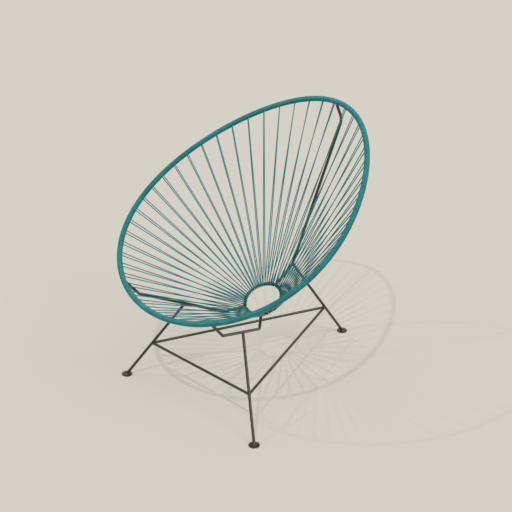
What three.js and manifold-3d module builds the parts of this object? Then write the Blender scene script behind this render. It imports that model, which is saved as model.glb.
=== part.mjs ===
// An acapulco chair: an egg-shaped steel hoop and a small seat ring, held apart by three bent basket
// rods on a welded frame of three legs, and strung from hoop to ring with one thin PVC cord.
// Millimetres, +Z up. The seat faces -Y, the sitter's left is +X, and the chair stands on Z = 0.
import * as THREE from 'three';
import { mergeVertices } from 'three/addons/utils/BufferGeometryUtils.js';
import Module from 'manifold-3d';

const wasm = await Module();
wasm.setup();

// Hoop: the rim of the seat, an egg that is widest in its front half and leans back
const hoopHalfLength = 430;
const hoopHalfWidth = 360;
const hoopTaperShares = [-0.165, -0.025, 0.019];
const hoopCentreHeight = 584.5;
const hoopLean = 31.2;
const hoopRodDiameter = 11;

// Seat ring: the small ring under the sitter that gathers the cord
const ringRadius = 60;
const ringRodDiameter = 8.5;
const ringSetBack = 62;
const ringHeight = 251.5;
const ringLean = 28.9;

// Basket rods: each drops square from the hoop, runs below the cords and turns in to the ring
const basketRodDiameter = 9;
const rearWeld = { hoopTurn: 0, ringTurn: 0 };
const frontWeld = { hoopTurn: 152.5, ringTurn: 145 };
const rearRodDrop = 70.5;
const rearRodLean = 8;
const rearRodReach = 84;
const rearRodRise = 1.5;
const rearRodBendRadius = 38;
const frontRodDrop = 78;
const frontRodLean = 14;
const frontRodReach = 65;
const frontRodRise = 11;
const frontRodSideShift = 6.5;
const frontRodBendRadius = 18;

// Legs, their disc feet and the triangle of stretchers between them
const legDiameter = 8.5;
const frontLegSeatShare = 0.533;
const rearLegSeatShare = 0.99;
const frontFootSpread = 280;
const frontFootForward = 252;
const rearFootBack = 425;
const footDiameter = 33;
const footThickness = 3;
const footEdgeRound = 1;
const footBossDiameter = 13;
const footBossHeight = 1.5;
const stretcherDiameter = 8;
const stretcherHeight = 119.5;

// Cord: wound along the hoop, with a hairpin down to the ring and back at each station. The stations
// are counted from the top by the sitter's left, and each length of winding carries a few of them.
const cordDiameter = 2.8;
const stationDriftShares = [0.806, -0.097, -0.216, -0.061];
const lengthStations = [5, 4, 4, 4, 4, 3, 3, 3, 3, 3, 4, 4, 4, 4];
const ringBayStations = [21, 9, 22];
const topStationShift = 4;
const strandSpreadAtHoop = 9.2;
const strandShiftAtHoop = 3.2;
const strandShiftAtRing = 3.8;
const loopRoomBesideRod = 8.4;

// Clearances between pieces that touch on the real chair
const seatGap = 0.3;
const cutOverrun = 20;

// Smoothness of the curved pieces
const arcDivisions = 1440;
const hoopSides = 10;
const hoopStepsPerStation = 2;
const ringSides = 8;
const ringSegments = 48;
const rodSides = 10;
const bendSteps = 5;
const cordSides = 5;
const loopStepsPerTurn = 8;
const footSegments = 24;
const edgeSteps = 3;
const gapSampleStep = 1;

const rad = THREE.MathUtils.degToRad;
const vec = (x, y, z) => new THREE.Vector3(x, y, z);
const along = (from, direction, distance) => from.clone().addScaledVector(direction, distance);
const towards = (from, to) => to.clone().sub(from).normalize();

const steel = {
  name: 'powder_coated_steel', color: 0x46423a, roughness: 0.55, metalness: 0.3,
};
const pvc = { name: 'pvc_cord', color: 0x468c89, roughness: 0.42, metalness: 0 };

// Points of a round section about a centre, on two unit axes square to the way the tube runs
function section(centre, across, up, radius, sides) {
  return Array.from({ length: sides }, (_, corner) => {
    const turn = (2 * Math.PI * (corner + 0.5)) / sides;
    return along(along(centre, across, radius * Math.cos(turn)), up, radius * Math.sin(turn));
  });
}

// A closed skin over a row of sections: capped at both ends, or joined end to end
function loft(sections, joined = false) {
  const sides = sections[0].length;
  const positions = sections.flat().flatMap((point) => point.toArray());
  const index = [];
  const spans = joined ? sections.length : sections.length - 1;
  for (let span = 0; span < spans; span += 1) {
    const here = span * sides;
    const next = ((span + 1) % sections.length) * sides;
    for (let side = 0; side < sides; side += 1) {
      const turn = (side + 1) % sides;
      index.push(here + side, here + turn, next + turn);
      index.push(here + side, next + turn, next + side);
    }
  }
  const last = (sections.length - 1) * sides;
  for (let side = 1; side < sides - 1 && !joined; side += 1) {
    index.push(0, side + 1, side);
    index.push(last, last + side, last + side + 1);
  }
  const geometry = new THREE.BufferGeometry();
  geometry.setAttribute('position', new THREE.Float32BufferAttribute(positions, 3));
  geometry.setIndex(index);
  return geometry;
}

// A round rod or cord through a list of points, with its section carried along without twist
function tube(points, radius, sides, firstUp) {
  const ways = points.map((point, i) => {
    const before = i > 0 ? towards(points[i - 1], point) : vec(0, 0, 0);
    const after = i < points.length - 1 ? towards(point, points[i + 1]) : vec(0, 0, 0);
    return before.add(after).normalize();
  });
  let up = firstUp.clone();
  const sections = points.map((point, i) => {
    up = along(up, ways[i], -up.dot(ways[i])).normalize();
    const across = up.clone().cross(ways[i]);
    return section(point, across, up, radius, sides);
  });
  return loft(sections);
}

// The points of a bent rod: straight between its corners, with a round bend at each inner one
function bentRoute(corners, bendRadius) {
  const route = [corners[0]];
  for (let i = 1; i < corners.length - 1; i += 1) {
    const back = towards(corners[i], corners[i - 1]);
    const ahead = towards(corners[i], corners[i + 1]);
    const halfTurn = (Math.PI - back.angleTo(ahead)) / 2;
    const inward = back.clone().add(ahead).normalize();
    const forward = ahead.clone().sub(back).normalize();
    const centre = along(corners[i], inward, bendRadius / Math.cos(halfTurn));
    for (let step = 0; step <= bendSteps; step += 1) {
      const turn = halfTurn * ((2 * step) / bendSteps - 1);
      const outer = along(centre, inward, -bendRadius * Math.cos(turn));
      route.push(along(outer, forward, bendRadius * Math.sin(turn)));
    }
  }
  route.push(corners.at(-1));
  return route;
}

// Solids for joining and cutting, and back to a geometry
function solid(geometry) {
  const bare = geometry.clone();
  bare.deleteAttribute('normal');
  bare.deleteAttribute('uv');
  const merged = mergeVertices(bare);
  return new wasm.Manifold(new wasm.Mesh({
    numProp: 3,
    vertProperties: new Float32Array(merged.attributes.position.array),
    triVerts: new Uint32Array(merged.index.array),
  }));
}

function skinOf(shape) {
  const mesh = shape.getMesh();
  const geometry = new THREE.BufferGeometry();
  geometry.setAttribute('position', new THREE.BufferAttribute(mesh.vertProperties, 3));
  geometry.setIndex(new THREE.BufferAttribute(mesh.triVerts, 1));
  return geometry;
}

function piece(name, geometry, finish) {
  const shaded = geometry.index ? geometry.toNonIndexed() : geometry;
  shaded.computeVertexNormals();
  const mesh = new THREE.Mesh(shaded, new THREE.MeshStandardMaterial(finish));
  mesh.name = name;
  return mesh;
}

// The hoop's centre line, starting at the top of the back and going round by the sitter's left
const hoopRise = vec(0, Math.cos(rad(hoopLean)), Math.sin(rad(hoopLean)));
const hoopNormal = vec(0, -Math.sin(rad(hoopLean)), Math.cos(rad(hoopLean)));
const hoopCentre = vec(0, 0, hoopCentreHeight);

class EggHoop extends THREE.Curve {
  getPoint(share, target = new THREE.Vector3()) {
    const turn = 2 * Math.PI * share;
    const rise = Math.cos(turn);
    const [taper, fullness, skew] = hoopTaperShares;
    const egg = 1 + rise * (taper + rise * (fullness + rise * skew));
    target.copy(hoopCentre).addScaledVector(hoopRise, hoopHalfLength * rise);
    target.x += hoopHalfWidth * Math.sin(turn) * egg;
    return target;
  }
}

const hoop = new EggHoop();
hoop.arcLengthDivisions = arcDivisions;
const hoopLength = hoop.getLength();

// Where the hoop is at a share of its length, and which way it runs there
function hoopStop(share) {
  const place = share - Math.floor(share);
  const run = hoop.getTangentAt(place);
  return { centre: hoop.getPointAt(place), run, across: hoopNormal.clone().cross(run) };
}

const hoopSection = ({ centre, across }, radius) => section(centre, across, hoopNormal, radius, hoopSides);

// The stations: a hairpin of cord leaves the hoop at each, furthest apart either side of the top
const stationCount = lengthStations.reduce((sum, count) => sum + count, 0);

function stationShare(station) {
  const drift = stationDriftShares.map((share, i) => (
    share * Math.sin((2 * Math.PI * (i + 1) * station) / stationCount)
  ));
  return drift.reduce((sum, value) => sum + value, station) / stationCount;
}

const hoopStops = Array.from({ length: stationCount * hoopStepsPerStation }, (_, step) => (
  hoopStop(stationShare(step / hoopStepsPerStation))
));

const hoopRodRadius = hoopRodDiameter / 2;
const hoopRod = loft(hoopStops.map((stop) => hoopSection(stop, hoopRodRadius)), true);
const hoopRodRoom = solid(loft(hoopStops.map((stop) => hoopSection(stop, hoopRodRadius + seatGap)), true));

// The seat ring, leaning back like the hoop
const ringCentre = vec(0, ringSetBack, ringHeight);
const ringRise = vec(0, Math.cos(rad(ringLean)), Math.sin(rad(ringLean)));
const ringNormal = vec(0, -Math.sin(rad(ringLean)), Math.cos(rad(ringLean)));
const ringOut = (turn) => vec(Math.sin(turn), 0, 0).addScaledVector(ringRise, Math.cos(turn));
const ringRun = (turn) => vec(Math.cos(turn), 0, 0).addScaledVector(ringRise, -Math.sin(turn));
const ringPoint = (turn) => along(ringCentre, ringOut(turn), ringRadius);
const ringRodRadius = ringRodDiameter / 2;

function ringSolid(radius) {
  const geometry = new THREE.TorusGeometry(ringRadius, radius, ringSides, ringSegments);
  geometry.rotateX(rad(ringLean));
  geometry.translate(...ringCentre);
  return solid(geometry);
}

// Basket rods: corners from the weld on the hoop to the weld on the ring
const basketRodRadius = basketRodDiameter / 2;

function basketCorners({ hoopTurn, ringTurn }, sideSign, drop, lean, reach, rise, sideShift) {
  const atHoop = hoop.getPoint((sideSign * rad(hoopTurn)) / (2 * Math.PI));
  const inward = towards(atHoop, hoopCentre);
  const upperBend = along(along(atHoop, hoopNormal, -drop), inward, lean);
  const turn = sideSign * rad(ringTurn);
  const atRing = ringPoint(turn);
  const beside = along(atRing, ringRun(turn), -sideSign * sideShift);
  const lowerBend = along(along(beside, ringOut(turn), reach), ringNormal, rise);
  return [atHoop, upperBend, lowerBend, atRing];
}

const frontRodSizes = [frontRodDrop, frontRodLean, frontRodReach, frontRodRise, frontRodSideShift];
const rearRodSizes = [rearRodDrop, rearRodLean, rearRodReach, rearRodRise, 0];
const basketRods = [
  {
    place: 'rear',
    corners: basketCorners(rearWeld, 1, ...rearRodSizes),
    bendRadius: rearRodBendRadius,
    legSeatShare: rearLegSeatShare,
  },
  ...[['front_left', 1], ['front_right', -1]].map(([place, sideSign]) => ({
    place,
    corners: basketCorners(frontWeld, sideSign, ...frontRodSizes),
    bendRadius: frontRodBendRadius,
    legSeatShare: frontLegSeatShare,
  })),
];

function rodSolid({ corners, bendRadius }, radius) {
  return solid(tube(bentRoute(corners, bendRadius), radius, rodSides, vec(1, 0, 0)));
}

const ringRoom = ringSolid((ringRodRadius + seatGap) / Math.cos(Math.PI / ringSides));
const rodRooms = basketRods.map((rod) => rodSolid(rod, basketRodRadius + seatGap));

const chair = new THREE.Group();
chair.add(piece('hoop_rod', hoopRod, steel));
const seatRing = piece(
  'seat_ring',
  new THREE.TorusGeometry(ringRadius, ringRodRadius, ringSides, ringSegments),
  steel,
);
seatRing.rotation.x = rad(ringLean);
seatRing.position.copy(ringCentre);
chair.add(seatRing);

basketRods.forEach((rod) => {
  const coped = rodSolid(rod, basketRodRadius).subtract(hoopRodRoom).subtract(ringRoom);
  chair.add(piece(`basket_rod_${rod.place}`, skinOf(coped), steel));
});

// Feet: thin steel discs with a low boss, where the legs are welded
const footPlaces = {
  rear: vec(0, rearFootBack, 0),
  front_left: vec(frontFootSpread, -frontFootForward, 0),
  front_right: vec(-frontFootSpread, -frontFootForward, 0),
};
const footTop = footThickness + footBossHeight;

function footGeometry() {
  const rim = footDiameter / 2;
  const shoulder = footThickness - footEdgeRound;
  const profile = new THREE.Path();
  profile.moveTo(0, 0);
  profile.lineTo(rim, 0);
  profile.lineTo(rim, shoulder);
  profile.absarc(rim - footEdgeRound, shoulder, footEdgeRound, 0, Math.PI / 2);
  profile.lineTo(footBossDiameter / 2 + footBossHeight, footThickness);
  profile.lineTo(footBossDiameter / 2, footTop);
  profile.lineTo(0, footTop);
  const geometry = new THREE.LatheGeometry(profile.getPoints(edgeSteps), footSegments);
  geometry.rotateX(Math.PI / 2);
  return geometry;
}

// Legs: straight rods from the feet up to their basket rods, coped round them
const legRadius = legDiameter / 2;
const floorBlock = new THREE.BoxGeometry(
  2 * (frontFootSpread + footDiameter),
  2 * (rearFootBack + footDiameter),
  2 * (footTop + seatGap),
);
const footRoom = solid(floorBlock);
const legs = basketRods.map(({ place, corners: [, upperBend, lowerBend], legSeatShare }) => {
  const foot = footPlaces[place];
  const seat = upperBend.clone().lerp(lowerBend, legSeatShare);
  return { place, foot, seat, joint: foot.clone().lerp(seat, stretcherHeight / seat.z) };
});
const legSolid = ({ foot, seat }, radius) => solid(tube([foot, seat], radius, rodSides, vec(1, 0, 0)));

legs.forEach((leg, i) => {
  const standing = legSolid(leg, legRadius).subtract(rodRooms[i]).subtract(footRoom);
  chair.add(piece(`leg_${leg.place}`, skinOf(standing), steel));
  const foot = piece(`foot_${leg.place}`, footGeometry(), steel);
  foot.position.copy(leg.foot);
  chair.add(foot);
});

// Stretchers: a level triangle of rods, mitred to each other and coped round the legs
const legRooms = legs.map((leg) => legSolid(leg, legRadius + seatGap));
const [rearLeg, leftLeg, rightLeg] = legs;

// A block that fills one side of the upright mitre plane at a joint, half a gap past the plane
function mitreBlock(joint, own, other) {
  const ownWay = towards(joint, own);
  const otherWay = towards(joint, other);
  const away = otherWay.clone().sub(ownWay).normalize();
  const size = cutOverrun * 2;
  const block = new THREE.BoxGeometry(size, size, size);
  block.translate(0, cutOverrun - seatGap / 2, 0);
  const turn = new THREE.Quaternion().setFromUnitVectors(vec(0, 1, 0), away);
  block.applyQuaternion(turn);
  block.translate(...joint);
  return solid(block);
}

function stretcher(name, from, to, third) {
  const bar = solid(tube([from.joint, to.joint], stretcherDiameter / 2, rodSides, vec(0, 0, 1)));
  const mitred = bar
    .subtract(mitreBlock(from.joint, to.joint, third.joint))
    .subtract(mitreBlock(to.joint, from.joint, third.joint));
  const coped = legRooms.reduce((shape, room) => shape.subtract(room), mitred);
  chair.add(piece(name, skinOf(coped), steel));
}

stretcher('stretcher_front', rightLeg, leftLeg, rearLeg);
stretcher('stretcher_left', leftLeg, rearLeg, rightLeg);
stretcher('stretcher_right', rearLeg, rightLeg, leftLeg);

// Cord: the winding is a sleeve over the hoop rod, and the hairpins grow out of it
const cordRadius = cordDiameter / 2;
const windingRadius = hoopRodRadius + seatGap + cordDiameter;
const windingMiddle = hoopRodRadius + seatGap + cordRadius;
const strandInset = Math.sqrt(windingMiddle ** 2 - (strandSpreadAtHoop / 2) ** 2);
const loopRadius = (ringRodRadius + seatGap + cordRadius) / Math.cos(Math.PI / loopStepsPerTurn);

// The loops share out each bay of the ring between two rods evenly, clear of the rods at its ends
const frontRingTurn = rad(frontWeld.ringTurn);
const ringBayEnds = [rad(rearWeld.ringTurn), frontRingTurn, 2 * Math.PI - frontRingTurn, 2 * Math.PI];

function loopTurnOnRing(station) {
  let bay = 0;
  let place = (station + stationCount - 1) % stationCount;
  while (place >= ringBayStations[bay]) {
    place -= ringBayStations[bay];
    bay += 1;
  }
  const room = loopRoomBesideRod / ringRadius;
  const from = ringBayEnds[bay] + room;
  const to = ringBayEnds[bay + 1] - room;
  return from + ((to - from) * place) / (ringBayStations[bay] - 1);
}

// The hairpin of one station: down from the hoop's upper side to under the ring, half way round the
// ring rod, and back up over the ring to the hoop's lower side. The top one sits beside its rod.
function hairpinRoute(station) {
  const topShift = station === 0 ? -topStationShift / hoopLength : 0;
  const { centre, run } = hoopStop(stationShare(station) + topShift);
  const turn = loopTurnOnRing(station);
  const middle = ringPoint(turn);
  const down = towards(centre, middle);
  const up = down.clone().cross(run).normalize();
  const aside = up.clone().cross(down);
  const inset = along(centre, down, strandInset);
  const [upperEnd, lowerEnd] = [0.5, -0.5].map((half) => (
    along(along(inset, up, half * strandSpreadAtHoop), aside, half * strandShiftAtHoop)
  ));
  const [upperTurn, lowerTurn] = [[upperEnd, -1], [lowerEnd, 1]].map(([end, side]) => {
    const reach = end.clone().sub(middle);
    const rise = reach.dot(ringNormal);
    const out = reach.dot(ringOut(turn));
    return Math.atan2(rise, out) + side * Math.acos(loopRadius / Math.hypot(rise, out));
  });
  const wound = upperTurn - lowerTurn + 2 * Math.PI;
  const steps = Math.round((wound / (2 * Math.PI)) * loopStepsPerTurn);
  const onLoop = (angle) => {
    const outward = ringOut(turn).multiplyScalar(loopRadius * Math.cos(angle));
    return along(outward, ringNormal, loopRadius * Math.sin(angle));
  };
  const asideAlready = onLoop(upperTurn).sub(onLoop(lowerTurn)).dot(aside);
  const shiftAlongRing = (strandShiftAtRing - asideAlready) / ringRun(turn).dot(aside);
  const loop = Array.from({ length: steps + 1 }, (_, step) => {
    const beside = along(middle, ringRun(turn), shiftAlongRing * (0.5 - step / steps));
    return beside.add(onLoop(upperTurn - (wound * step) / steps));
  });
  return [upperEnd, ...loop, lowerEnd];
}

// The winding from one station's far side to another's, notched for the welds under the hoop
function windingSolid(firstStation, lastStation) {
  const steps = (lastStation - firstStation + 1) * hoopStepsPerStation;
  const shares = Array.from({ length: steps + 1 }, (_, step) => (
    stationShare(firstStation - 0.5 + step / hoopStepsPerStation)
  ));
  shares[0] += seatGap / 2 / hoopLength;
  shares[steps] -= seatGap / 2 / hoopLength;
  const skin = loft(shares.map((share) => hoopSection(hoopStop(share), windingRadius)));
  return rodRooms.reduce((shape, room) => shape.subtract(room), solid(skin));
}

const lengthCount = lengthStations.length;
const frontLength = lengthCount / 2;

function lengthName(length) {
  if (length === 0) return 'seat_cord_top';
  if (length === frontLength) return 'seat_cord_front';
  return length < frontLength ? `seat_cord_left_${length}` : `seat_cord_right_${lengthCount - length}`;
}

const routes = [];
let nextStation = -Math.floor(lengthStations[0] / 2);
lengthStations.forEach((count, length) => {
  const stations = Array.from({ length: count }, (_, place) => nextStation + place);
  const strung = stations.reduce((shape, station) => {
    const route = hairpinRoute(station);
    routes.push(route);
    return shape.add(solid(tube(route, cordRadius, cordSides, hoopNormal)));
  }, windingSolid(stations[0], stations.at(-1)));
  chair.add(piece(lengthName(length), skinOf(strung.subtract(hoopRodRoom)), pvc));
  nextStation += count;
});

// Points a step apart along a route, each with how far along the route it lies
function walk(route) {
  const stops = [];
  let travelled = 0;
  for (let i = 1; i < route.length; i += 1) {
    const span = route[i - 1].distanceTo(route[i]);
    const steps = Math.ceil(span / gapSampleStep);
    for (let step = 0; step < steps; step += 1) {
      const point = route[i - 1].clone().lerp(route[i], step / steps);
      stops.push({ point, travelled: travelled + (span * step) / steps });
    }
    travelled += span;
  }
  return stops;
}

// The least gap from a hairpin to itself, leaving out its own thickness along the cord
function gapToItself(route) {
  const stops = walk(route);
  let least = Infinity;
  stops.forEach((a, i) => {
    for (let j = i + 1; j < stops.length; j += 1) {
      const apart = stops[j].travelled - a.travelled;
      if (apart > 2 * cordDiameter) least = Math.min(least, a.point.distanceTo(stops[j].point));
    }
  });
  return least - cordDiameter;
}

// The origin is on the ground under the middle of the chair's bounding box
const bounds = new THREE.Box3().setFromObject(chair);
chair.position.y = -(bounds.min.y + bounds.max.y) / 2;

console.log(`least gap of a hairpin to itself: ${Math.min(...routes.map(gapToItself)).toFixed(2)} mm`);

export default chair;
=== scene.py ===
"""An acapulco chair: thin teal cord strung from an egg-shaped steel hoop to a small ring under
the sitter, on three bent basket rods and a welded frame of three legs. Metres, +Z up, and the
seat faces -Y.
"""

import bisect
import math

import bmesh
import bpy
from mathutils import Matrix, Vector
from mathutils.geometry import intersect_line_line


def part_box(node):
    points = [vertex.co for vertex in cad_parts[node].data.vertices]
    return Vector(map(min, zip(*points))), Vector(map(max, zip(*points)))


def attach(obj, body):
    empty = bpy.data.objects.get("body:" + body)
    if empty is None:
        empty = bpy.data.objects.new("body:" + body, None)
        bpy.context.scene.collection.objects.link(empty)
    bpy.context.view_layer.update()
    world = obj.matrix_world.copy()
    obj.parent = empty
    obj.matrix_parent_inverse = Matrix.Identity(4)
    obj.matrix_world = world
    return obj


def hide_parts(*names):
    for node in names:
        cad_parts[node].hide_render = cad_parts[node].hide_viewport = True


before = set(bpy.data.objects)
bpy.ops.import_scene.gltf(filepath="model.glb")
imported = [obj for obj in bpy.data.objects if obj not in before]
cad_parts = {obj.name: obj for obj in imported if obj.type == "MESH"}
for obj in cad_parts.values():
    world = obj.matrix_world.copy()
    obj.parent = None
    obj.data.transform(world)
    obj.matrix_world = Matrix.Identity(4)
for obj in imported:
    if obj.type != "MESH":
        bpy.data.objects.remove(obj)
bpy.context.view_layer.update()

# Camera
# It looks down at the chair from its left front, well above a person's head, with a long lens. The
# photograph is square.
CAMERA_PLACE = (2.8646, -2.8268, 2.3861)
CAMERA_TURN = math.radians(45.39)
CAMERA_DIP = math.radians(26.19)
SENSOR_WIDTH_MM = 36.0
LENS_MM = 105.97
camera_data = bpy.data.cameras.new("camera")
camera_data.sensor_width = SENSOR_WIDTH_MM
camera_data.lens = LENS_MM
camera = bpy.data.objects.new("camera", camera_data)
camera.location = CAMERA_PLACE
camera.rotation_euler = (math.radians(90) - CAMERA_DIP, 0, CAMERA_TURN)
bpy.context.scene.collection.objects.link(camera)
bpy.context.scene.camera = camera


# Floor
# A plain matt floor in warm off-white that runs out of sight behind the chair. A share of what the
# camera sees of it is its plain colour, so that the chair's shadows on it stay faint.
def linear(hex_colour):
    """An sRGB colour as "#rrggbb" to the linear colour that shaders take."""
    shares = [int(hex_colour[place:place + 2], 16) / 255 for place in (1, 3, 5)]
    return [s / 12.92 if s <= 0.04045 else ((s + 0.055) / 1.055) ** 2.4 for s in shares] + [1.0]


def add(owner, kind, settings=None, links=None):
    """Adds a node to a material or world, with its inputs or properties set and linked."""
    node = owner.node_tree.nodes.new(kind)
    for name, value in (settings or {}).items():
        if name in node.inputs:
            node.inputs[name].default_value = value
        else:
            setattr(node, name, value)
    for name, socket in (links or {}).items():
        owner.node_tree.links.new(socket, node.inputs[name])
    return node


def seen_share(owner, share):
    """A share for what the camera sees, straight or by gloss or glass, and 0 for all else."""
    ray = add(owner, "ShaderNodeLightPath")
    bent = {0: ray.outputs["Is Glossy Ray"], 1: ray.outputs["Is Transmission Ray"]}
    bent = add(owner, "ShaderNodeMath", {"operation": "MAXIMUM"}, bent)
    seen = {0: ray.outputs["Is Camera Ray"], 1: bent.outputs["Value"]}
    seen = add(owner, "ShaderNodeMath", {"operation": "MAXIMUM"}, seen)
    scaled = add(owner, "ShaderNodeMath", {"operation": "MULTIPLY"}, {0: seen.outputs["Value"]})
    scaled.inputs[1].default_value = share
    return scaled.outputs["Value"]


def new_material(name):
    """An empty node material whose Principled shader and output are already joined."""
    material = bpy.data.materials.new(name)
    material.use_nodes = True
    return material, material.node_tree.nodes["Principled BSDF"]


MERGE_DISTANCE = 0.000001
SHARP_ANGLE = math.radians(35)


def new_piece(name, bm, material):
    """Turns a finished bmesh into an object with one material, smooth but for its sharp edges."""
    bmesh.ops.remove_doubles(bm, verts=bm.verts, dist=MERGE_DISTANCE)
    bmesh.ops.recalc_face_normals(bm, faces=bm.faces)
    mesh = bpy.data.meshes.new(name)
    bm.to_mesh(mesh)
    bm.free()
    mesh.shade_smooth()
    mesh.set_sharp_from_angle(angle=SHARP_ANGLE)
    mesh.materials.append(material)
    piece = bpy.data.objects.new(name, mesh)
    bpy.context.scene.collection.objects.link(piece)
    return piece


FLOOR_HALF_WIDTH = 30.0
PLAIN_SHARE = 0.5
FLOOR_COLOUR = linear("#d6d1c7")
painted_floor, shader = new_material("matt_painted_floor")
shader.inputs["Base Color"].default_value = FLOOR_COLOUR
shader.inputs["Roughness"].default_value = 0.9
shader.inputs["Specular IOR Level"].default_value = 0.1
plain = add(painted_floor, "ShaderNodeEmission", {"Color": FLOOR_COLOUR})
both = add(painted_floor, "ShaderNodeMixShader", links={
    0: seen_share(painted_floor, PLAIN_SHARE),
    1: shader.outputs["BSDF"],
    2: plain.outputs["Emission"],
})
floor_output = painted_floor.node_tree.nodes["Material Output"]
painted_floor.node_tree.links.new(both.outputs["Shader"], floor_output.inputs["Surface"])
bm = bmesh.new()
bmesh.ops.create_grid(bm, x_segments=1, y_segments=1, size=FLOOR_HALF_WIDTH)
floor = new_piece("floor", bm, painted_floor)

# Light
# A lamp high in front gives the clear shadow on the floor, and a weaker one from the left the long
# faint one. A broad light from the right and a sky that is brightest overhead fill the rest.
HIGH_WAY = Vector((0.305, -0.573, 1.0))
LEFT_WAY = Vector((-0.5425, -0.5817, 1.0))
BROAD_WAY = Vector((1.0, 0.1, 0.95))
SKY_STRENGTH = 0.633


def sun(name, way, strength, softness):
    """A distant lamp on the side that way points to. Its softness is how many degrees it spans."""
    lamp = bpy.data.lights.new(name, "SUN")
    lamp.energy = strength
    lamp.angle = math.radians(softness)
    holder = bpy.data.objects.new(name, lamp)
    holder.rotation_euler = way.to_track_quat("Z", "Y").to_euler()
    bpy.context.scene.collection.objects.link(holder)


sun("high_light", HIGH_WAY, strength=0.80, softness=0.9)
sun("left_light", LEFT_WAY, strength=0.36, softness=0.9)
sun("broad_light", BROAD_WAY, strength=1.0, softness=30.0)
sky = bpy.data.worlds.new("soft_sky")
bpy.context.scene.world = sky
sky.use_nodes = True
place = add(sky, "ShaderNodeTexCoord").outputs["Generated"]
height = add(sky, "ShaderNodeSeparateXYZ", links={"Vector": place}).outputs["Z"]
shade = add(sky, "ShaderNodeValToRGB", links={"Fac": height})
shade.color_ramp.elements[0].color = linear("#8f8f8f")
shade.color_ramp.elements[1].color = linear("#ffffff")
shade = {"Color": shade.outputs["Color"]}
lit = add(sky, "ShaderNodeBackground", {"Strength": SKY_STRENGTH}, shade)
plain = add(sky, "ShaderNodeBackground", {"Color": FLOOR_COLOUR})
both = add(sky, "ShaderNodeMixShader", links={
    0: seen_share(sky, 1.0),
    1: lit.outputs["Background"],
    2: plain.outputs["Background"],
})
sky_output = sky.node_tree.nodes["World Output"]
sky.node_tree.links.new(both.outputs["Shader"], sky_output.inputs["Surface"])
bpy.context.scene.view_settings.view_transform = "Standard"

# Hoop
# One 11 mm mild steel rod bent to an egg, wider in front, and welded end to end. It leans back and
# carries the winding, which hides it.

# All the steel has a baked polyester powder coat in dark bronze. The powder melts to a glossy skin
# with a faint orange peel, so what faces up is pale and slightly broken, and the rest near black.
# The peel is at its real size and shows only close up.
ORANGE_PEEL = 0.0012
BRONZE_DRIFT = 0.09
bronze_coat, shader = new_material("polyester_powder_coat_on_steel")
place = add(bronze_coat, "ShaderNodeTexCoord").outputs["Object"]
peel_size = {"Scale": 1 / ORANGE_PEEL, "Detail": 2.0}
peel = add(bronze_coat, "ShaderNodeTexNoise", peel_size, {"Vector": place})
drift_size = {"Scale": 1 / BRONZE_DRIFT, "Detail": 3.0}
drift = add(bronze_coat, "ShaderNodeTexNoise", drift_size, {"Vector": place})
tone = add(bronze_coat, "ShaderNodeValToRGB", links={"Fac": drift.outputs["Fac"]})
tone.color_ramp.elements[0].position = 0.35
tone.color_ramp.elements[0].color = linear("#221b07")
tone.color_ramp.elements[1].position = 0.65
tone.color_ramp.elements[1].color = linear("#2c240d")
peel_depth = {"Strength": 0.25, "Distance": 0.00005}
bump = add(bronze_coat, "ShaderNodeBump", peel_depth, {"Height": peel.outputs["Fac"]})
bronze_coat.node_tree.links.new(tone.outputs["Color"], shader.inputs["Base Color"])
bronze_coat.node_tree.links.new(bump.outputs["Normal"], shader.inputs["Normal"])
shader.inputs["Roughness"].default_value = 0.34
shader.inputs["Coat Weight"].default_value = 0.5
shader.inputs["Coat Roughness"].default_value = 0.15

HOOP_HALF_LENGTH = 0.430
HOOP_HALF_WIDTH = 0.360
HOOP_TAPER_SHARES = (-0.165, -0.025, 0.019)
HOOP_LEAN = math.radians(31.2)
HOOP_ROD_RADIUS = 0.0055
HOOP_STEPS = 1440
HOOP_STEP = 2 * math.pi / HOOP_STEPS
HOOP_ROD_STRIDE = 4
RIPPLE_SHARE = 0.12
ROD_SIDES = 20
hoop_low, hoop_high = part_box("hoop_rod")
hoop_centre = (hoop_low + hoop_high) / 2
hoop_rise = Vector((0, math.cos(HOOP_LEAN), math.sin(HOOP_LEAN)))
hoop_normal = Vector((0, -math.sin(HOOP_LEAN), math.cos(HOOP_LEAN)))


def hoop_point(turn):
    """A point of the hoop's centre line, with turn 0 at the top and going by the sitter's left."""
    rise = math.cos(turn)
    taper, fullness, skew = HOOP_TAPER_SHARES
    egg = 1 + rise * (taper + rise * (fullness + rise * skew))
    across = Vector((HOOP_HALF_WIDTH * math.sin(turn) * egg, 0, 0))
    return hoop_centre + hoop_rise * HOOP_HALF_LENGTH * rise + across


hoop_points = [hoop_point(HOOP_STEP * step) for step in range(HOOP_STEPS + 1)]
hoop_reach = [0.0]
for before, after in zip(hoop_points, hoop_points[1:]):
    hoop_reach.append(hoop_reach[-1] + (after - before).length)
hoop_length = hoop_reach[-1]


def hoop_run(turn):
    """The way that the hoop runs at a turn."""
    return (hoop_point(turn + HOOP_STEP) - hoop_point(turn - HOOP_STEP)).normalized()


def hoop_at(distance):
    """Where the hoop's centre line is after a distance from the top, and which way it runs."""
    distance %= hoop_length
    step = min(bisect.bisect_right(hoop_reach, distance), HOOP_STEPS) - 1
    share = (distance - hoop_reach[step]) / (hoop_reach[step + 1] - hoop_reach[step])
    centre = hoop_points[step].lerp(hoop_points[step + 1], share)
    return centre, (hoop_points[step + 1] - hoop_points[step]).normalized()


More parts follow.
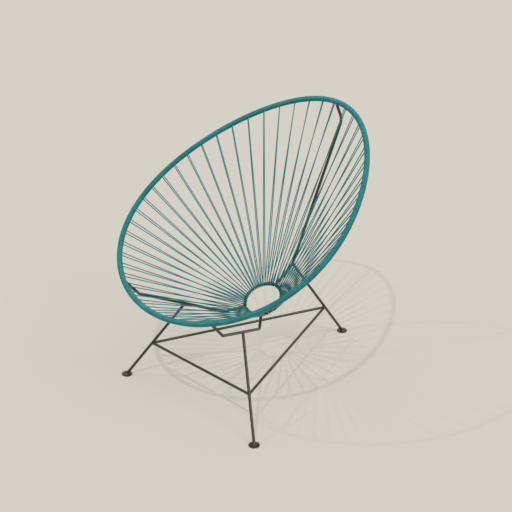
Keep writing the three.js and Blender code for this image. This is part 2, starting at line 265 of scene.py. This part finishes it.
def tube(name, route, radius, sides, material, closed=False, ripples=0):
    """A round rod, cord or weld bead along a route. Ripples are where it swells and thins."""
    curve = bpy.data.curves.new(name, "CURVE")
    curve.dimensions = "3D"
    curve.bevel_depth = radius
    # A round bevel has four sides, and two more for each step of its resolution.
    curve.bevel_resolution = (sides - 4) // 2
    curve.use_fill_caps = not closed
    spline = curve.splines.new("POLY")
    spline.points.add(len(route) - 1)
    for order, (point, place_on_route) in enumerate(zip(spline.points, route)):
        point.co = (*place_on_route, 1)
        point.radius = 1 + RIPPLE_SHARE * math.sin(2 * math.pi * ripples * order / len(route))
    spline.use_cyclic_u = closed
    holder = bpy.data.objects.new(name, curve)
    mesh = bpy.data.meshes.new_from_object(holder)
    bpy.data.objects.remove(holder)
    mesh.name = name
    mesh.materials.clear()
    mesh.materials.append(material)
    piece = bpy.data.objects.new(name, mesh)
    bpy.context.scene.collection.objects.link(piece)
    mesh.shade_smooth()
    return piece


route = hoop_points[:-1:HOOP_ROD_STRIDE]
hoop_rod = tube("bent_hoop_rod", route, HOOP_ROD_RADIUS, ROD_SIDES, bronze_coat, closed=True)
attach(hoop_rod, "root")
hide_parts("hoop_rod")

# Seat ring
# A small ring of 8.5 mm steel rod under the sitter, bent round and welded shut. It holds the lower
# ends of all the strands, and their loops nearly hide it.
RING_RADIUS = 0.060
RING_ROD_RADIUS = 0.00425
RING_LEAN = math.radians(28.9)
RING_STEPS = 96
ring_low, ring_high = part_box("seat_ring")
ring_centre = (ring_low + ring_high) / 2
ring_rise = Vector((0, math.cos(RING_LEAN), math.sin(RING_LEAN)))
ring_normal = Vector((0, -math.sin(RING_LEAN), math.cos(RING_LEAN)))


def ring_out(turn):
    """The way out of the ring's middle at a turn, with turn 0 at the back."""
    return Vector((math.sin(turn), 0, 0)) + ring_rise * math.cos(turn)


def ring_run(turn):
    """The way along the ring at a turn, towards larger turns."""
    return Vector((math.cos(turn), 0, 0)) - ring_rise * math.sin(turn)


bm = bmesh.new()
stand = Matrix.Translation((RING_RADIUS, 0, 0)) @ Matrix.Rotation(math.radians(90), 4, "X")
bmesh.ops.create_circle(bm, segments=ROD_SIDES, radius=RING_ROD_RADIUS, matrix=stand)
bmesh.ops.spin(
    bm, geom=bm.verts[:] + bm.edges[:], axis=(0, 0, 1), cent=(0, 0, 0),
    steps=RING_STEPS, angle=math.radians(360), use_merge=True,
)
leant = Matrix.Translation(ring_centre) @ Matrix.Rotation(RING_LEAN, 4, "X")
bmesh.ops.transform(bm, matrix=leant, verts=bm.verts)
seat_ring = new_piece("spun_seat_ring", bm, bronze_coat)
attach(seat_ring, "root")
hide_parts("seat_ring")

# Basket rods
# Three 9 mm steel rods, each bent twice. Each is welded square under the hoop, runs below the cords
# and turns in to the ring, and so they hold the ring in the middle of the basket.
BASKET_ROD_RADIUS = 0.0045
REAR_BEND_RADIUS = 0.038
FRONT_BEND_RADIUS = 0.018
BEND_STEPS = 12
REAR_ROD = {"drop": 0.0705, "lean": 0.008, "reach": 0.084, "rise": 0.0015, "aside": 0.0}
FRONT_ROD = {"drop": 0.078, "lean": 0.014, "reach": 0.065, "rise": 0.011, "aside": 0.0065}
FRONT_HOOP_TURN = math.radians(152.5)
FRONT_RING_TURN = math.radians(145)


def basket_corners(side, hoop_turn, ring_turn, drop, lean, reach, rise, aside):
    """A basket rod's ends and the corners of its two bends, from the hoop to the ring."""
    at_hoop = hoop_point(side * hoop_turn)
    upper = at_hoop - hoop_normal * drop + (hoop_centre - at_hoop).normalized() * lean
    turn = side * ring_turn
    at_ring = ring_centre + ring_out(turn) * RING_RADIUS
    lower = at_ring + ring_out(turn) * reach + ring_normal * rise - ring_run(turn) * side * aside
    return [at_hoop, upper, lower, at_ring]


def bent_route(corners, radius):
    """The points of a bent rod, straight between its corners and bent round at the inner ones."""
    route = [corners[0]]
    for before, corner, after in zip(corners, corners[1:], corners[2:]):
        back = (before - corner).normalized()
        ahead = (after - corner).normalized()
        half = (math.pi - back.angle(ahead)) / 2
        inward = (back + ahead).normalized()
        forward = (ahead - back).normalized()
        centre = corner + inward * radius / math.cos(half)
        for step in range(BEND_STEPS + 1):
            turn = half * (2 * step / BEND_STEPS - 1)
            along = forward * radius * math.sin(turn)
            route.append(centre - inward * radius * math.cos(turn) + along)
    return route + [corners[-1]]


# The welds: a bead round each joint, where one rod's skin meets the other's, with the ripples that
# the welder's torch leaves.
WELD_RADIUS = 0.0013
RING_WELD_RADIUS = 0.0008
WELD_STEPS = 72
WELD_SIDES = 8
WELD_RIPPLES = 18


def lay_bead(name, route, radius=WELD_RADIUS):
    """A weld bead that goes once round a joint."""
    bead = tube(name, route, radius, WELD_SIDES, bronze_coat, closed=True, ripples=WELD_RIPPLES)
    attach(bead, "root")


def crossing(joint, bar_way, bar_radius, end_way, end_radius):
    """The line where the skin of a rod's end crosses the skin of the bar that it meets."""
    across = end_way.orthogonal().normalized()
    beside = end_way.cross(across)
    slope = end_way - bar_way * end_way.dot(bar_way)
    route = []
    for step in range(WELD_STEPS):
        turn = 2 * math.pi * step / WELD_STEPS
        skin = joint + (across * math.cos(turn) + beside * math.sin(turn)) * end_radius
        off_bar = (skin - joint) - bar_way * (skin - joint).dot(bar_way)
        half = -off_bar.dot(slope) / slope.length_squared
        room = half ** 2 - (off_bar.length_squared - bar_radius ** 2) / slope.length_squared
        route.append(skin + end_way * (half + math.sqrt(max(room, 0.0))))
    return route


basket_rods = {
    "rear": basket_corners(1, 0.0, 0.0, **REAR_ROD),
    "front_left": basket_corners(1, FRONT_HOOP_TURN, FRONT_RING_TURN, **FRONT_ROD),
    "front_right": basket_corners(-1, FRONT_HOOP_TURN, FRONT_RING_TURN, **FRONT_ROD),
}
weld_turns = {
    "rear": (0.0, 0.0),
    "front_left": (FRONT_HOOP_TURN, FRONT_RING_TURN),
    "front_right": (-FRONT_HOOP_TURN, -FRONT_RING_TURN),
}
rod_routes = {}
for place_name, corners in basket_rods.items():
    route = bent_route(corners, REAR_BEND_RADIUS if place_name == "rear" else FRONT_BEND_RADIUS)
    rod_routes[place_name] = route
    name = f"bent_basket_rod_{place_name}"
    rod = tube(name, route, BASKET_ROD_RADIUS, ROD_SIDES, bronze_coat)
    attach(rod, "root")
    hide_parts(f"basket_rod_{place_name}")
    on_hoop, below_hoop, by_ring, on_ring = corners
    hoop_way, ring_way = hoop_run(weld_turns[place_name][0]), ring_run(weld_turns[place_name][1])
    rod_way = (below_hoop - on_hoop).normalized()
    route = crossing(on_hoop, hoop_way, HOOP_ROD_RADIUS, rod_way, BASKET_ROD_RADIUS)
    lay_bead(f"weld_on_hoop_{place_name}", route)
    rod_way = (by_ring - on_ring).normalized()
    route = crossing(on_ring, ring_way, RING_ROD_RADIUS, rod_way, BASKET_ROD_RADIUS)
    lay_bead(f"weld_on_ring_{place_name}", route, RING_WELD_RADIUS)

# Feet
# Three thin pressed steel discs with a rounded upper edge and a low coned boss in the middle, where
# the leg is welded on. They lie flat on the floor.
FOOT_RADIUS = 0.0165
FOOT_THICKNESS = 0.003
FOOT_BOSS_RADIUS = 0.0065
FOOT_BOSS_HEIGHT = 0.0015
FOOT_EDGE_ROUND = 0.001
FOOT_EDGE_STEPS = 3
FOOT_STEPS = 48
RIM_TOLERANCE = 0.00001
foot_places = {}
for place_name in basket_rods:
    foot_low, foot_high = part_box(f"foot_{place_name}")
    foot_middle = (foot_low + foot_high) / 2
    foot_places[place_name] = Vector((foot_middle.x, foot_middle.y, foot_low.z))
    bm = bmesh.new()
    bmesh.ops.create_circle(bm, cap_ends=True, segments=FOOT_STEPS, radius=FOOT_RADIUS)
    rim = bmesh.ops.extrude_face_region(bm, geom=bm.faces[:], use_keep_orig=True)
    top = [item for item in rim["geom"] if isinstance(item, bmesh.types.BMFace)]
    bmesh.ops.translate(bm, vec=(0, 0, FOOT_THICKNESS), verts=top[0].verts[:])
    flat_width = FOOT_RADIUS - FOOT_BOSS_RADIUS - FOOT_BOSS_HEIGHT
    bmesh.ops.inset_region(bm, faces=top, thickness=flat_width)
    bmesh.ops.inset_region(bm, faces=top, thickness=FOOT_BOSS_HEIGHT)
    bmesh.ops.translate(bm, vec=(0, 0, FOOT_BOSS_HEIGHT), verts=top[0].verts[:])
    on_edge = set()
    for vertex in bm.verts:
        on_rim = vertex.co.xy.length > FOOT_RADIUS - RIM_TOLERANCE
        if on_rim and vertex.co.z > FOOT_THICKNESS / 2:
            on_edge.add(vertex)
    edges = [edge for edge in bm.edges if on_edge.issuperset(edge.verts)]
    bmesh.ops.bevel(
        bm, geom=edges, offset=FOOT_EDGE_ROUND, segments=FOOT_EDGE_STEPS, profile=0.5,
        affect="EDGES", material=-1,
    )
    bmesh.ops.translate(bm, vec=foot_places[place_name], verts=bm.verts)
    foot = new_piece(f"pressed_foot_{place_name}", bm, bronze_coat)
    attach(foot, "root")
    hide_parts(f"foot_{place_name}")

# Legs
# Three straight 8.5 mm steel rods. Each is welded at the top under its basket rod and at the bottom
# to the boss of its foot.
LEG_RADIUS = 0.00425
LEG_SEAT_SHARES = {"rear": 0.99, "front_left": 0.533, "front_right": 0.533}
leg_tops = {}


def meeting(foot, top, route):
    """Where the line of a leg meets a bent rod, and which way the rod runs there."""
    near = []
    for before, after in zip(route, route[1:]):
        on_leg, on_rod = intersect_line_line(foot, top, before, after)
        share = (on_rod - before).dot(after - before) / (after - before).length_squared
        if 0 <= share <= 1:
            near.append(((on_leg - on_rod).length, on_rod, (after - before).normalized()))
    return min(near, key=lambda found: found[0])[1:]


for place_name, corners in basket_rods.items():
    leg_tops[place_name] = corners[1].lerp(corners[2], LEG_SEAT_SHARES[place_name])
    bottom = foot_places[place_name] + Vector((0, 0, FOOT_THICKNESS))
    end, rod_way = meeting(bottom, leg_tops[place_name], rod_routes[place_name])
    name = f"straight_leg_{place_name}"
    leg = tube(name, [bottom, end], LEG_RADIUS, ROD_SIDES, bronze_coat)
    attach(leg, "root")
    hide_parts(f"leg_{place_name}")
    leg_way = (bottom - end).normalized()
    route = crossing(end, rod_way, BASKET_ROD_RADIUS, leg_way, LEG_RADIUS)
    lay_bead(f"weld_on_rod_{place_name}", route)
    on_boss = bottom + leg_way * FOOT_BOSS_HEIGHT / leg_way.z
    collar = []
    for step in range(WELD_STEPS):
        turn = 2 * math.pi * step / WELD_STEPS
        collar.append(on_boss + Vector((math.cos(turn), math.sin(turn), 0)) * LEG_RADIUS)
    lay_bead(f"weld_on_foot_{place_name}", collar)

# Stretchers
# Three straight 8 mm steel rods in a level triangle, which stop the legs from spreading. Each is
# welded at both ends to the side of a leg.
STRETCHER_RADIUS = 0.004
STRETCHER_HEIGHT = 0.1195
leg_joints = {}
for place_name, leg_top in leg_tops.items():
    leg_joints[place_name] = foot_places[place_name].lerp(leg_top, STRETCHER_HEIGHT / leg_top.z)
stretcher_ends = {
    "front": ("front_right", "front_left"),
    "left": ("front_left", "rear"),
    "right": ("rear", "front_right"),
}
for place_name, (start, end) in stretcher_ends.items():
    for near, far in ((start, end), (end, start)):
        leg_way = (leg_tops[near] - foot_places[near]).normalized()
        way_off = (leg_joints[far] - leg_joints[near]).normalized()
        route = crossing(leg_joints[near], leg_way, LEG_RADIUS, way_off, STRETCHER_RADIUS)
        lay_bead(f"weld_on_leg_{near}_{place_name}", route)
    name = f"straight_stretcher_{place_name}"
    route = [leg_joints[start], leg_joints[end]]
    stretcher = tube(name, route, STRETCHER_RADIUS, ROD_SIDES, bronze_coat)
    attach(stretcher, "root")
    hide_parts(f"stretcher_{place_name}")

# Cord
# Soft PVC cord, 2.8 mm thick and teal right through. It is wound tight along the hoop, and at each
# of 52 stations one turn is drawn down to the ring, half way round it, and back.

# The PVC is extruded through a smooth die, so its highlights are broad and soft and its colour only
# drifts a little. Its real grain is too fine to show, and is drawn coarse enough to show close up.
PVC_DRIFT = 0.05
PVC_GRAIN = 0.0006
pvc_cord, shader = new_material("extruded_soft_pvc")
place = add(pvc_cord, "ShaderNodeTexCoord").outputs["Object"]
drift_size = {"Scale": 1 / PVC_DRIFT, "Detail": 4.0}
drift = add(pvc_cord, "ShaderNodeTexNoise", drift_size, {"Vector": place})
tone = add(pvc_cord, "ShaderNodeValToRGB", links={"Fac": drift.outputs["Fac"]})
tone.color_ramp.elements[0].position = 0.3
tone.color_ramp.elements[0].color = linear("#0a7a80")
tone.color_ramp.elements[1].position = 0.7
tone.color_ramp.elements[1].color = linear("#138b8d")
grain_size = {"Scale": 1 / PVC_GRAIN, "Detail": 2.0}
grain = add(pvc_cord, "ShaderNodeTexNoise", grain_size, {"Vector": place})
grain_depth = {"Strength": 0.3, "Distance": 0.00004}
bump = add(pvc_cord, "ShaderNodeBump", grain_depth, {"Height": grain.outputs["Fac"]})
pvc_cord.node_tree.links.new(tone.outputs["Color"], shader.inputs["Base Color"])
pvc_cord.node_tree.links.new(bump.outputs["Normal"], shader.inputs["Normal"])
shader.inputs["Roughness"].default_value = 0.32
shader.inputs["IOR"].default_value = 1.53

# The stations: how they stray from even spacing on the hoop, and how many are in each length of
# cord and in each bay of the ring between two basket rods. The top one is tied a little aside.
STATION_DRIFT_SHARES = (0.806, -0.097, -0.216, -0.061)
LENGTH_STATIONS = (5, 4, 4, 4, 4, 3, 3, 3, 3, 3, 4, 4, 4, 4)
RING_BAY_STATIONS = (21, 9, 22)
TOP_STATION_SHIFT = 0.004
LOOP_ROOM_BESIDE_ROD = 0.0075
station_count = sum(LENGTH_STATIONS)
ring_bay_ends = (0.0, FRONT_RING_TURN, 2 * math.pi - FRONT_RING_TURN, 2 * math.pi)


def station_reach(station):
    """How far along the hoop from the top a station lies."""
    drift_now = sum(
        share * math.sin(2 * math.pi * (order + 1) * station / station_count)
        for order, share in enumerate(STATION_DRIFT_SHARES)
    )
    shift = -TOP_STATION_SHIFT if station == 0 else 0.0
    return hoop_length * (station + drift_now) / station_count + shift


def loop_turn(station):
    """Where on the ring a station's loop sits: evenly in the bay between two of the rods."""
    bay = 0
    order = (station - 1) % station_count
    while order >= RING_BAY_STATIONS[bay]:
        order -= RING_BAY_STATIONS[bay]
        bay += 1
    room = LOOP_ROOM_BESIDE_ROD / RING_RADIUS
    first = ring_bay_ends[bay] + room
    last = ring_bay_ends[bay + 1] - room
    return first + (last - first) * order / (RING_BAY_STATIONS[bay] - 1)


# The winding: its turns lie side by side. Those near a weld crowd to its two sides, most where they
# face the rod, and fewer the further they are along the hoop.
CORD_RADIUS = 0.0014
CORD_SIDES = 8
CORD_PITCH = 0.00284
TURN_STEPS = 20
LEAVING_TURN = math.radians(75)
ROOM_BESIDE_WELD = 0.0059
WELD_CROWDING = 0.060
FACING_FROM = -0.5
FACING_RANGE = 0.9
winding_radius = HOOP_ROD_RADIUS + CORD_RADIUS
leaving_shift = CORD_PITCH * LEAVING_TURN / (2 * math.pi)
hoop_welds = []
for place_name, corners in basket_rods.items():
    step = round(weld_turns[place_name][0] / HOOP_STEP) % HOOP_STEPS
    hoop_welds.append((hoop_reach[step], (corners[1] - corners[0]).normalized()))


def winding_point(reach, down, turn):
    """A point of a turn round the hoop, with turn 0 on the ring's side and going up the inside."""
    centre, run = hoop_at(reach)
    up = down.cross(run).normalized()
    inward = run.cross(up)
    shift = 0.0
    for weld_reach, rod_way in hoop_welds:
        rod_turn = math.atan2(rod_way.dot(up), rod_way.dot(inward))
        beyond = math.remainder(turn - rod_turn, 2 * math.pi)
        past = math.remainder(reach - weld_reach, hoop_length) - CORD_PITCH * beyond / (2 * math.pi)
        crowding = max(0.0, 1 - abs(past) / WELD_CROWDING) ** 2
        facing = min(max((math.cos(beyond) - FACING_FROM) / FACING_RANGE, 0.0), 1.0)
        eased = facing ** 2 * (3 - 2 * facing)
        shift += math.copysign(ROOM_BESIDE_WELD, past) * crowding * eased
    return centre + run * shift + (inward * math.cos(turn) + up * math.sin(turn)) * winding_radius


def winding(station):
    """The turns from one station's upper strand to the next station's lower strand."""
    start = station_reach(station) + leaving_shift
    end = station_reach(station + 1) - leaving_shift
    turns = round((end - start) / CORD_PITCH - 1 + LEAVING_TURN / math.pi)
    wound = 2 * (math.pi - LEAVING_TURN) + 2 * math.pi * turns
    steps = round(wound / (2 * math.pi) * TURN_STEPS)
    downs = []
    for at in (station, station + 1):
        at_ring = ring_centre + ring_out(loop_turn(at)) * RING_RADIUS
        downs.append((at_ring - hoop_at(station_reach(at))[0]).normalized())
    points = []
    for step in range(steps + 1):
        share = step / steps
        reach = start + (end - start) * share
        down = downs[0].lerp(downs[1], share)
        points.append(winding_point(reach, down, LEAVING_TURN + wound * share))
    return points


# The hairpins: each pair of strands leaves the hoop one above the other and a little aside, crosses
# half way down, and lies side by side where it goes round the ring.
STRAND_START = 0.012
STRAND_SPREAD = 0.0092
STRAND_SHIFT_AT_HOOP = 0.0031
STRAND_SHIFT_AT_RING = 0.0036
EASING_STEPS = 6
LOOP_STEPS = 30
loop_radius = RING_ROD_RADIUS + CORD_RADIUS


def easing(start, start_way, end, end_way):
    """Points of a smooth bridge between two points, leaving and arriving along the given ways."""
    pull = (end - start).length / 2
    knots = (start, start + start_way * pull, end - end_way * pull, end)
    bridge = []
    for step in range(1, EASING_STEPS):
        t = step / EASING_STEPS
        weights = ((1 - t) ** 3, 3 * t * (1 - t) ** 2, 3 * t * t * (1 - t), t ** 3)
        bridge.append(sum((knot * weight for knot, weight in zip(knots, weights)), Vector()))
    return bridge


def off_ring_rod(turn, angle):
    """From the middle of the ring's rod to the cord on it, at an angle from outwards to above."""
    return (ring_out(turn) * math.cos(angle) + ring_normal * math.sin(angle)) * loop_radius


def hairpin(station):
    """From the hoop's lower side over the ring, round it, and back under it to the upper side."""
    centre, run = hoop_at(station_reach(station))
    turn = loop_turn(station)
    middle = ring_centre + ring_out(turn) * RING_RADIUS
    down = (middle - centre).normalized()
    up = down.cross(run).normalized()
    aside = up.cross(down)
    ends = {}
    tangents = {}
    for side in (-1, 1):
        off_middle = up * side * STRAND_SPREAD / 2 + aside * side * STRAND_SHIFT_AT_HOOP / 2
        ends[side] = centre + down * STRAND_START + off_middle
        reach = ends[side] - middle
        rise, out = reach.dot(ring_normal), reach.dot(ring_out(turn))
        past_rod = math.acos(loop_radius / math.hypot(rise, out))
        tangents[side] = math.atan2(rise, out) - side * past_rod
    apart = (off_ring_rod(turn, tangents[1]) - off_ring_rod(turn, tangents[-1])).dot(aside)
    along_ring = (STRAND_SHIFT_AT_RING - apart) / ring_run(turn).dot(aside)
    wound = tangents[1] - tangents[-1] + 2 * math.pi
    steps = round(wound / (2 * math.pi) * LOOP_STEPS)
    loop = []
    for step in range(steps + 1):
        angle = tangents[-1] + wound * step / steps
        beside = middle + ring_run(turn) * along_ring * (step / steps - 0.5)
        loop.append(beside + off_ring_rod(turn, angle))
    leaving = winding_point(station_reach(station) - leaving_shift, down, -LEAVING_TURN)
    arriving = winding_point(station_reach(station) + leaving_shift, down, LEAVING_TURN)
    leaving_way = down * math.sin(LEAVING_TURN) + up * math.cos(LEAVING_TURN)
    arriving_way = up * math.cos(LEAVING_TURN) - down * math.sin(LEAVING_TURN)
    going = easing(leaving, leaving_way, ends[-1], (loop[0] - ends[-1]).normalized())
    coming = easing(ends[1], (ends[1] - loop[-1]).normalized(), arriving, arriving_way)
    return going + [ends[-1]] + loop + [ends[1]] + coming


def length_name(length):
    """The name of a length of cord, by its place round the hoop."""
    half = len(LENGTH_STATIONS) // 2
    if length in (0, half):
        return "front" if length else "top"
    return f"left_{length}" if length < half else f"right_{len(LENGTH_STATIONS) - length}"


next_station = -(LENGTH_STATIONS[0] // 2)
for length, count in enumerate(LENGTH_STATIONS):
    before = winding(next_station - 1)
    route = before[len(before) // 2:]
    for station in range(next_station, next_station + count):
        after = winding(station)
        last = station == next_station + count - 1
        route += hairpin(station) + (after[:len(after) // 2 + 1] if last else after)
    name = length_name(length)
    cord = tube(f"strung_cord_{name}", route, CORD_RADIUS, CORD_SIDES, pvc_cord)
    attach(cord, "root")
    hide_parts(f"seat_cord_{name}")
    next_station += count
